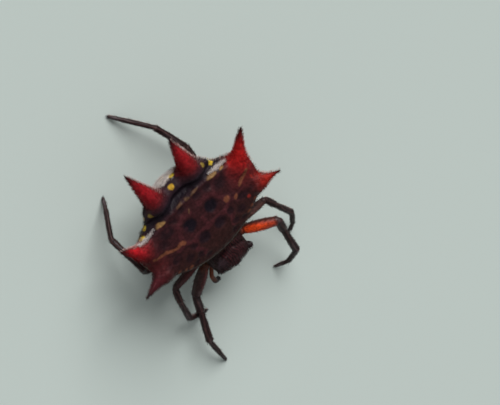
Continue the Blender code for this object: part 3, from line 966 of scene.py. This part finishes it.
def ring_faces(rings, segments):
    """Four-cornered faces between rings of points."""
    row, column = np.meshgrid(np.arange(rings - 1), np.arange(segments), indexing="ij")
    after = (column + 1) % segments
    quads = [row * segments + column, row * segments + after]
    quads += [(row + 1) * segments + after, (row + 1) * segments + column]
    return np.stack(quads, -1).reshape(-1, 4)


# Tubes: legs, feelers, jaws and spinnerets.


def smoothed(values, reach, **padding):
    """Values along a line, each averaged with its neighbours."""
    kernel = np.hanning(2 * reach + 3)[1:-1]
    return np.convolve(np.pad(values, reach, **padding), kernel / kernel.sum(), mode="valid")


def centre_line(joints, station, rounding):
    """Even stations along a bent line whose corners are rounded, and how far along
    each corner lies."""
    joints = np.array(joints, float)
    lengths = np.linalg.norm(np.diff(joints, axis=0), axis=1)
    marks = np.concatenate([[0], np.cumsum(lengths)])
    count = int(marks[-1] / station) + 1
    along = np.linspace(0, marks[-1], count)
    reach = max(1, int(rounding / station))
    line = [np.interp(along, marks, values) for values in joints.T]
    line = [smoothed(values, reach, mode="reflect", reflect_type="odd") for values in line]
    return np.stack(line, 1), along, marks


def ring_frames(line):
    """Directions along, and two across, at each station, turning as little as can be."""
    along = unit(np.gradient(line, axis=0))
    side = np.zeros_like(along)
    start = np.cross(along[0], (0, 0, 1))
    side[0] = start / np.linalg.norm(start)
    for index in range(1, len(line)):
        kept = side[index - 1] - along[index] * (side[index - 1] @ along[index])
        side[index] = kept / np.linalg.norm(kept)
    return along, side, np.cross(side, along)


def swept(line, radii, segments):
    """Points and faces of a closed tube, and the way out at each point."""
    _, side, up = ring_frames(line)
    turn = (np.arange(segments) * math.tau / segments)[None, :, None]
    out = side[:, None] * np.cos(turn) + up[:, None] * np.sin(turn)
    rings = line[:, None] + out * radii[:, None, None]
    start, end = [np.tile(place, (1, segments, 1)) for place in (line[0], line[-1])]
    points = np.concatenate([start, rings, end]).reshape(-1, 3)
    out = np.concatenate([out[:1], out, out[-1:]]).reshape(-1, 3)
    return points, ring_faces(len(line) + 2, segments), out


def leg_joints(number, side):
    joints = list(own_side(LEG_HIPS[number], side))
    for length, (bearing, rise) in zip(LEG_LENGTHS[number], LEG_POSES[number, side]):
        joints.append(joints[-1] + heading(side, bearing, rise) * length)
    joints[-1][2] = LEG_HALF_WIDTHS[number][-1]
    return joints


def leg_radii(number, along, marks):
    """Half widths at each station: every segment swells from a narrow joint."""
    widths = LEG_HALF_WIDTHS[number]
    ends = (widths[0], *widths[2:7])
    radii = np.zeros(len(along))
    for index, width in enumerate(ends):
        start, stop = marks[index], marks[index + 1]
        share = (along - start) / (stop - start)
        within = (share >= 0) & (share <= 1)
        if SEGMENTS[index] == "femur":
            shape = 0.72 + 0.28 * np.sin(math.pi * np.clip(share * 0.9 + 0.08, 0, 1))
        elif SEGMENTS[index] == "tarsus":
            shape = 1 - (1 - widths[7] / widths[6]) * smooth(share, 0.45, 1)
        elif SEGMENTS[index] == "tibia":
            shape = 0.86 + 0.14 * smooth(share, 0.1, 0.7)
        else:
            shape = 0.9 + 0.1 * np.sin(math.pi * np.clip(share, 0, 1))
        radii[within] = (width * shape)[within]
    radii = smoothed(radii, 4, mode="edge")
    for mark in marks[1:-1]:
        narrow = 0.08 if mark == marks[-2] else 0.2
        radii *= 1 - narrow * hump(along - mark, 0.055)
        radii *= 1 + 0.35 * narrow * hump(along - mark + 0.13, 0.06)
    return radii * rounded_end(marks[-1] - along, widths[7])


def leg_colours(number, side, along, marks, out):
    """Dark brown, with thighs red-orange in front, pale rings at the joints, and grey highlights
    painted on the upper sides of thighs and feet.
    """
    colours = np.tile(LEG_DARK, (len(out), 1))
    turn = np.tile(np.arange(LEG_RING) / LEG_RING, len(along)) * math.tau
    along = np.repeat(along, LEG_RING)
    behind = out @ unit(own_side(BACKLIGHT_WAY, side))
    start, stop = marks[1], marks[2]
    femur = smooth(along, start - 0.3, start + 0.3) * fade(along, stop - 0.3, stop - 0.02)
    tint, edge = FEMUR_TINTS[number, side]
    paint(colours, femur, np.array(LEG_BROWN) * 0.7 + np.array(tint) * 0.05)
    bright = fade(behind, edge - 0.45, edge + 0.2)
    bright *= 1 - 0.6 * smooth(along, stop - 1.2, stop - 0.2)
    paint(colours, femur * bright, tint, 0.95)
    paint(colours, fade(along, start - 0.1, start + 0.4), PALP_BROWN, 0.4)
    for mark in marks[2:-1]:
        paint(colours, hump(along - mark, 0.1), JOINT_PALE, 0.4)
    streaks = smooth(np.sin(5 * turn + 1.5 * np.sin(2.2 * along + number)), -0.2, 0.9)
    paint(colours, streaks * smooth(along, stop, stop + 0.2), LEG_STREAK, 0.8)
    # A painted grey highlight along the upper side of the thigh.
    upper = hump(out @ unit((-0.5, 0.3, 0.8)) - 0.75, 0.16)
    patchy = smooth(np.sin(1.7 * along + 2 * number + (side == "left")), -0.2, 0.6)
    paint(colours, upper * patchy * smooth(along, start, stop), LEG_HIGHLIGHT, 0.3)
    # A painted grey highlight on the upper side of the foot.
    toe = marks[-1] - 0.3
    foot = smooth(along, marks[-2], toe) * fade(along, toe, marks[-1])
    paint(colours, foot * smooth(out[:, 2], 0.2, 0.7), LEG_HIGHLIGHT, 0.5)
    return colours


def make_leg(number, side, material, hairs, claw):
    line, along, marks = centre_line(leg_joints(number, side), LEG_STATION, 0.16)
    radii = leg_radii(number, along, marks)
    points, faces, out = swept(line, radii, LEG_RING)
    name = f"leg_{number}_{side}"
    colours = leg_colours(number, side, np.pad(along, 1, mode="edge"), marks, out)
    nodes = [f"{name}_{part}" for part in ("femur", "tibia", "tarsus")]
    mesh = new_mesh(name + "_skin", points, faces)
    new_piece(mesh, material, colours, nodes)
    bristle_leg(name, line, radii, along, marks, hairs)
    for sign, place in ((-1, "in"), (1, "out")):
        make_claw(f"{name}_claw_{place}", line, sign, claw)


def sown_round(line, radii, first, last, most):
    """Random roots round a tube: station, turn, way out, place and way along it."""
    forwards, side, up = ring_frames(line)
    at = seeded.integers(first, last, most)
    turn = seeded.uniform(0, math.tau, most)
    out = side[at] * np.cos(turn)[:, None] + up[at] * np.sin(turn)[:, None]
    return at, turn, out, line[at] + out * radii[at][:, None], forwards[at]


def bristle_leg(name, line, radii, along, marks, material):
    """Short bristles that lean towards the toes, longer on shin and foot."""
    per_mm, shortest, longest, radius = HAIRS["leg"]
    most = int(per_mm * marks[-1])
    first, last = int(0.9 / LEG_STATION), len(line) - 1
    at, turn, out, roots, forwards = sown_round(line, 0.96 * radii, first, last, most)
    ways = stray(0.75 * out + forwards, 0.15)
    lengths = seeded.uniform(shortest, longest, most)
    lengths *= 1 - 0.35 * smooth(along[at], marks[5], marks[6])
    long = seeded.uniform(size=most) < 0.03
    lengths = np.where(long, lengths * 1.9, lengths)
    thick = np.where(long, 0.011, radius)
    shade = DARK_HAIR * seeded.uniform(0.6, 1.6, (most, 1))
    # Bristles that face the light from behind are painted pale: a painted rim highlight.
    behind = smooth(out @ unit(BACKLIGHT_WAY), 0.6, 0.9)
    paint(shade, behind * (seeded.uniform(size=most) < 0.5), HAIR_HIGHLIGHT)
    places = np.stack([along[at] / marks[-1], turn / math.tau], 1)
    bristles(name + "_bristles", roots, ways, -0.12 * out, lengths, thick, shade, places, material)


def make_claw(name, line, sign, material):
    """One of a foot's two hooked claws."""
    along, side, _ = ring_frames(line)
    tip, ahead, across = line[-1], along[-1].copy(), side[-1]
    ahead[2] = 0
    ahead = ahead / max(np.linalg.norm(ahead), 1e-6)
    start = tip + across * sign * 0.03 - ahead * 0.02
    hook = start + ahead * [[0], [0.07], [0.13], [0.15]]
    hook[:, 2] += (0, 0.02, 0, -0.045)
    hook_line, share, marks = centre_line(hook, 0.012, 0.02)
    radii = 0.02 * (1 - share / marks[-1]) + 0.004
    points, faces, _ = swept(hook_line, radii, 8)
    points[:, 2] = np.maximum(points[:, 2], 0.001)
    new_piece(new_mesh(name, points, faces), material, TIP_BLACK)


def rounded_end(left, reach):
    """Narrows a tube to a round end where less than reach is left of it."""
    return np.sqrt(1 - (1 - np.clip(left / reach, 0.05, 1)) ** 2)


def tube_piece(name, joints, radii, colour_at, material, nodes=(), rounding=0.12):
    """A tube with radii at its joints; colour_at gives colours from shares along it."""
    line, along, marks = centre_line(joints, TUBE_STATION, rounding)
    widths = np.interp(along, marks, radii) * rounded_end(marks[-1] - along, radii[-1])
    points, faces, _ = swept(line, widths, TUBE_RING)
    share = np.repeat(np.pad(along, 1, mode="edge") / marks[-1], TUBE_RING)
    new_piece(new_mesh(name, points, faces), material, colour_at(share), nodes)
    return line, widths


def between(first, last, start=0.0, end=1.0):
    """Colours that turn from first to last along a tube."""

    def colour_at(share):
        turn = smooth(share, start, end)[:, None]
        return np.array(first) + (np.array(last) - np.array(first)) * turn

    return colour_at


def make_palp(side, material, hairs):
    joints = own_side((PALP_ROOT, *PALP_BENDS[side]), side)
    nodes = (f"palp_{side}_base", f"palp_{side}_tip")
    colour_at = between(PALP_BROWN, LEG_DARK, 0.55, 0.85)
    name = f"palp_{side}_skin"
    line, widths = tube_piece(name, joints, PALP_RADII, colour_at, material, nodes)
    bristle_tube(f"palp_{side}_bristles", line, widths, "palp", hairs)


def bristle_tube(name, line, widths, part, material):
    most, shortest, longest, radius = HAIRS[part]
    at, turn, out, roots, forwards = sown_round(line, 0.95 * widths, 1, len(line), most)
    ways = stray(0.6 * out + forwards, 0.15)
    lengths = seeded.uniform(shortest, longest, most)
    shade = DARK_HAIR * seeded.uniform(0.7, 1.8, (most, 1))
    places = np.stack([at / len(line), turn / math.tau], 1)
    bristles(name, roots, ways, -0.1 * out, lengths, radius, shade, places, material)


def make_jaw(side, material, hairs, claw):
    joints = own_side(CHELICERA, side)
    colour_at = between(HEAD, HEAD_RED, 0.5, 1.0)
    name = f"chelicera_{side}"
    line, widths = tube_piece(
        name + "_skin", joints, CHELICERA_RADII, colour_at, material, (name,)
    )
    bristle_tube(name + "_bristles", line, widths, "jaw", hairs)
    fang = own_side(FANG, side)
    colour_at = between(FANG_BROWN, TIP_BLACK, 0.2, 0.8)
    tube_piece(name + "_fang", fang, FANG_RADII, colour_at, claw, (), 0.06)


def make_sternum(material):
    points, faces = ball(24, 36)
    x, y, z = points.T
    narrow = 1 - 0.3 * smooth(y, 0, 1)
    places = np.stack([x * 0.6 * narrow, y * 0.93, z * 0.18], 1)
    places[:, 2] += 0.02 * ripple(places, 0.4, 31)
    places += (0, -1.15, 1.98)
    colours = np.tile(HEAD, (len(places), 1))
    paint(colours, fade(np.hypot(x / 0.5, y / 0.7), 0.4, 1.0), STRIPE_TAN, 0.35)
    new_piece(new_mesh("sternum_skin", places, faces), material, colours, ("sternum",))


def make_pedicel(material):
    joints = [(0, -0.6, 2.4), (0, 0.2, 2.5), (0, 1.0, 2.72)]
    colour_at = between(HEAD, HEAD_RED)
    tube_piece("pedicel_skin", joints, (0.25, 0.2, 0.25), colour_at, material, ("pedicel",))


def make_spinnerets(material, hairs):
    """A raised ring, four large spinnerets, two small ones and the tail lobe."""
    ring = [(0, 2.72, 1.95), (0, 2.78, 1.7), (0, 2.82, 1.5), (0, 2.84, 1.42)]
    colour_at = between(VENTER, LEG_BROWN, 0.5, 1)
    radii = (0.54, 0.52, 0.46, 0.3)
    tube_piece("spinneret_ring", ring, radii, colour_at, material, ("spinnerets",))
    cones = {
        "front": (0.17, 2.62, 0.13, 0.42),
        "middle": (0.06, 2.85, 0.06, 0.3),
        "rear": (0.17, 3.0, 0.12, 0.4),
    }
    for name, (x, y, radius, length) in cones.items():
        for side in SIDES:
            start = own_side((x, y, 1.5), side)
            lean = own_side((0.02, 0.03 if name == "rear" else -0.03, -length), side)
            joints = [start, start + lean * 0.6, start + lean]
            piece = f"spinneret_{name}_{side}"
            colour_at = between(LEG_DARK, PALP_BROWN, 0.4, 0.9)
            widths = (radius, radius * 0.8, radius * 0.35)
            line, wide = tube_piece(piece, joints, widths, colour_at, material, ())
            bristle_tube(piece + "_bristles", line, wide, "spinneret", hairs)
    joints = [(0, 3.12, 1.55), (0, 3.17, 1.35), (0, 3.19, 1.22)]
    tube_piece("tail_lobe", joints, (0.12, 0.1, 0.04), between(LEG_DARK, LEG_BROWN), material)


# Stage.


PHOTO_WIDTH = 500
PIXELS_PER_MM = 16
CAMERA_DISTANCE = 0.3
CAMERA_ROLL = math.radians(124.97)
CAMERA_BEARING = 192
CAMERA_RISE = 61
CAMERA_TARGET = Vector((3.396, -2.182, 0)) * MM
SENSOR = 36
FLOOR_REACH = 3000
FLOOR_COLOUR = (0.7, 0.8, 0.76, 1)
LAMP_FROM = (0.5, 0.62, 0.6)
LAMP_STRENGTH = 2.5
LAMP_SPREAD = math.radians(40)
LAMP_COLOUR = (1.0, 0.98, 0.97)
SKY_COLOUR = (0.92, 0.94, 0.94, 1)
SKY_STRENGTH = 0.24


def make_camera():
    back = Vector(heading("left", CAMERA_BEARING, CAMERA_RISE))
    turn = back.to_track_quat("Z", "Y") @ Quaternion((0, 0, 1), CAMERA_ROLL)
    data = bpy.data.cameras.new("camera")
    data.sensor_width = SENSOR
    data.lens = SENSOR * PIXELS_PER_MM * CAMERA_DISTANCE / MM / PHOTO_WIDTH
    data.clip_start = 0.01
    data.clip_end = 20
    camera = placed("camera", data)
    camera.matrix_world = Matrix.LocRotScale(CAMERA_TARGET + CAMERA_DISTANCE * back, turn, None)
    bpy.context.scene.camera = camera


def make_floor():
    corners = FLOOR_REACH * np.array([(-1, -1, 0), (1, -1, 0), (1, 1, 0), (-1, 1, 0)])
    mesh = new_mesh("floor", corners, np.array([(0, 1, 2, 3)]))
    material = bpy.data.materials.new("floor")
    material.use_nodes = True
    shader = material.node_tree.nodes["Principled BSDF"]
    set_inputs(shader, Base_Color=FLOOR_COLOUR, Roughness=0.9)
    mesh.materials.append(material)
    placed("floor", mesh)


def make_light():
    """A broad, far lamp behind the spider."""
    data = bpy.data.lights.new("back light", "SUN")
    data.energy = LAMP_STRENGTH
    data.angle = LAMP_SPREAD
    data.color = LAMP_COLOUR
    lamp = placed("back light", data)
    lamp.rotation_euler = Vector(LAMP_FROM).to_track_quat("Z", "Y").to_euler()


def make_stage():
    make_floor()
    make_camera()
    make_light()
    world = bpy.data.worlds.new("world")
    world.use_nodes = True
    set_inputs(world.node_tree.nodes["Background"], Color=SKY_COLOUR, Strength=SKY_STRENGTH)
    bpy.context.scene.world = world
    bpy.context.scene.view_settings.view_transform = "Standard"


def make_spider():
    plate = shell("marked shell", 0.5, 9000, 0.000014, specular=0.15)
    head = shell("head shell", 0.46, 11000, 0.000012, coat=0.03, specular=0.2)
    leg = shell("leg shell", 0.42, 14000, 0.00001, specular=0.25)
    claw = shell("claw", 0.25, 20000, 0.000002, coat=0.4)
    eye = shell("eye", 0.07, 9000, 0.0000005, coat=1.0, mottling=0.5)
    dark_hair = shell("dark bristle", 0.5, 30000, 0.000001, specular=0.15)
    pale_hair = shell("white hair", 0.45, 30000, 0.000001, mottling=0.1)
    make_abdomen(plate, dark_hair, pale_hair)
    make_carapace(head, dark_hair)
    make_eyes(eye)
    make_sternum(head)
    make_pedicel(head)
    make_spinnerets(leg, dark_hair)
    for side in SIDES:
        make_jaw(side, head, dark_hair, claw)
        make_palp(side, leg, dark_hair)
        for number in LEG_LENGTHS:
            make_leg(number, side, leg, dark_hair, claw)


make_stage()
make_spider()
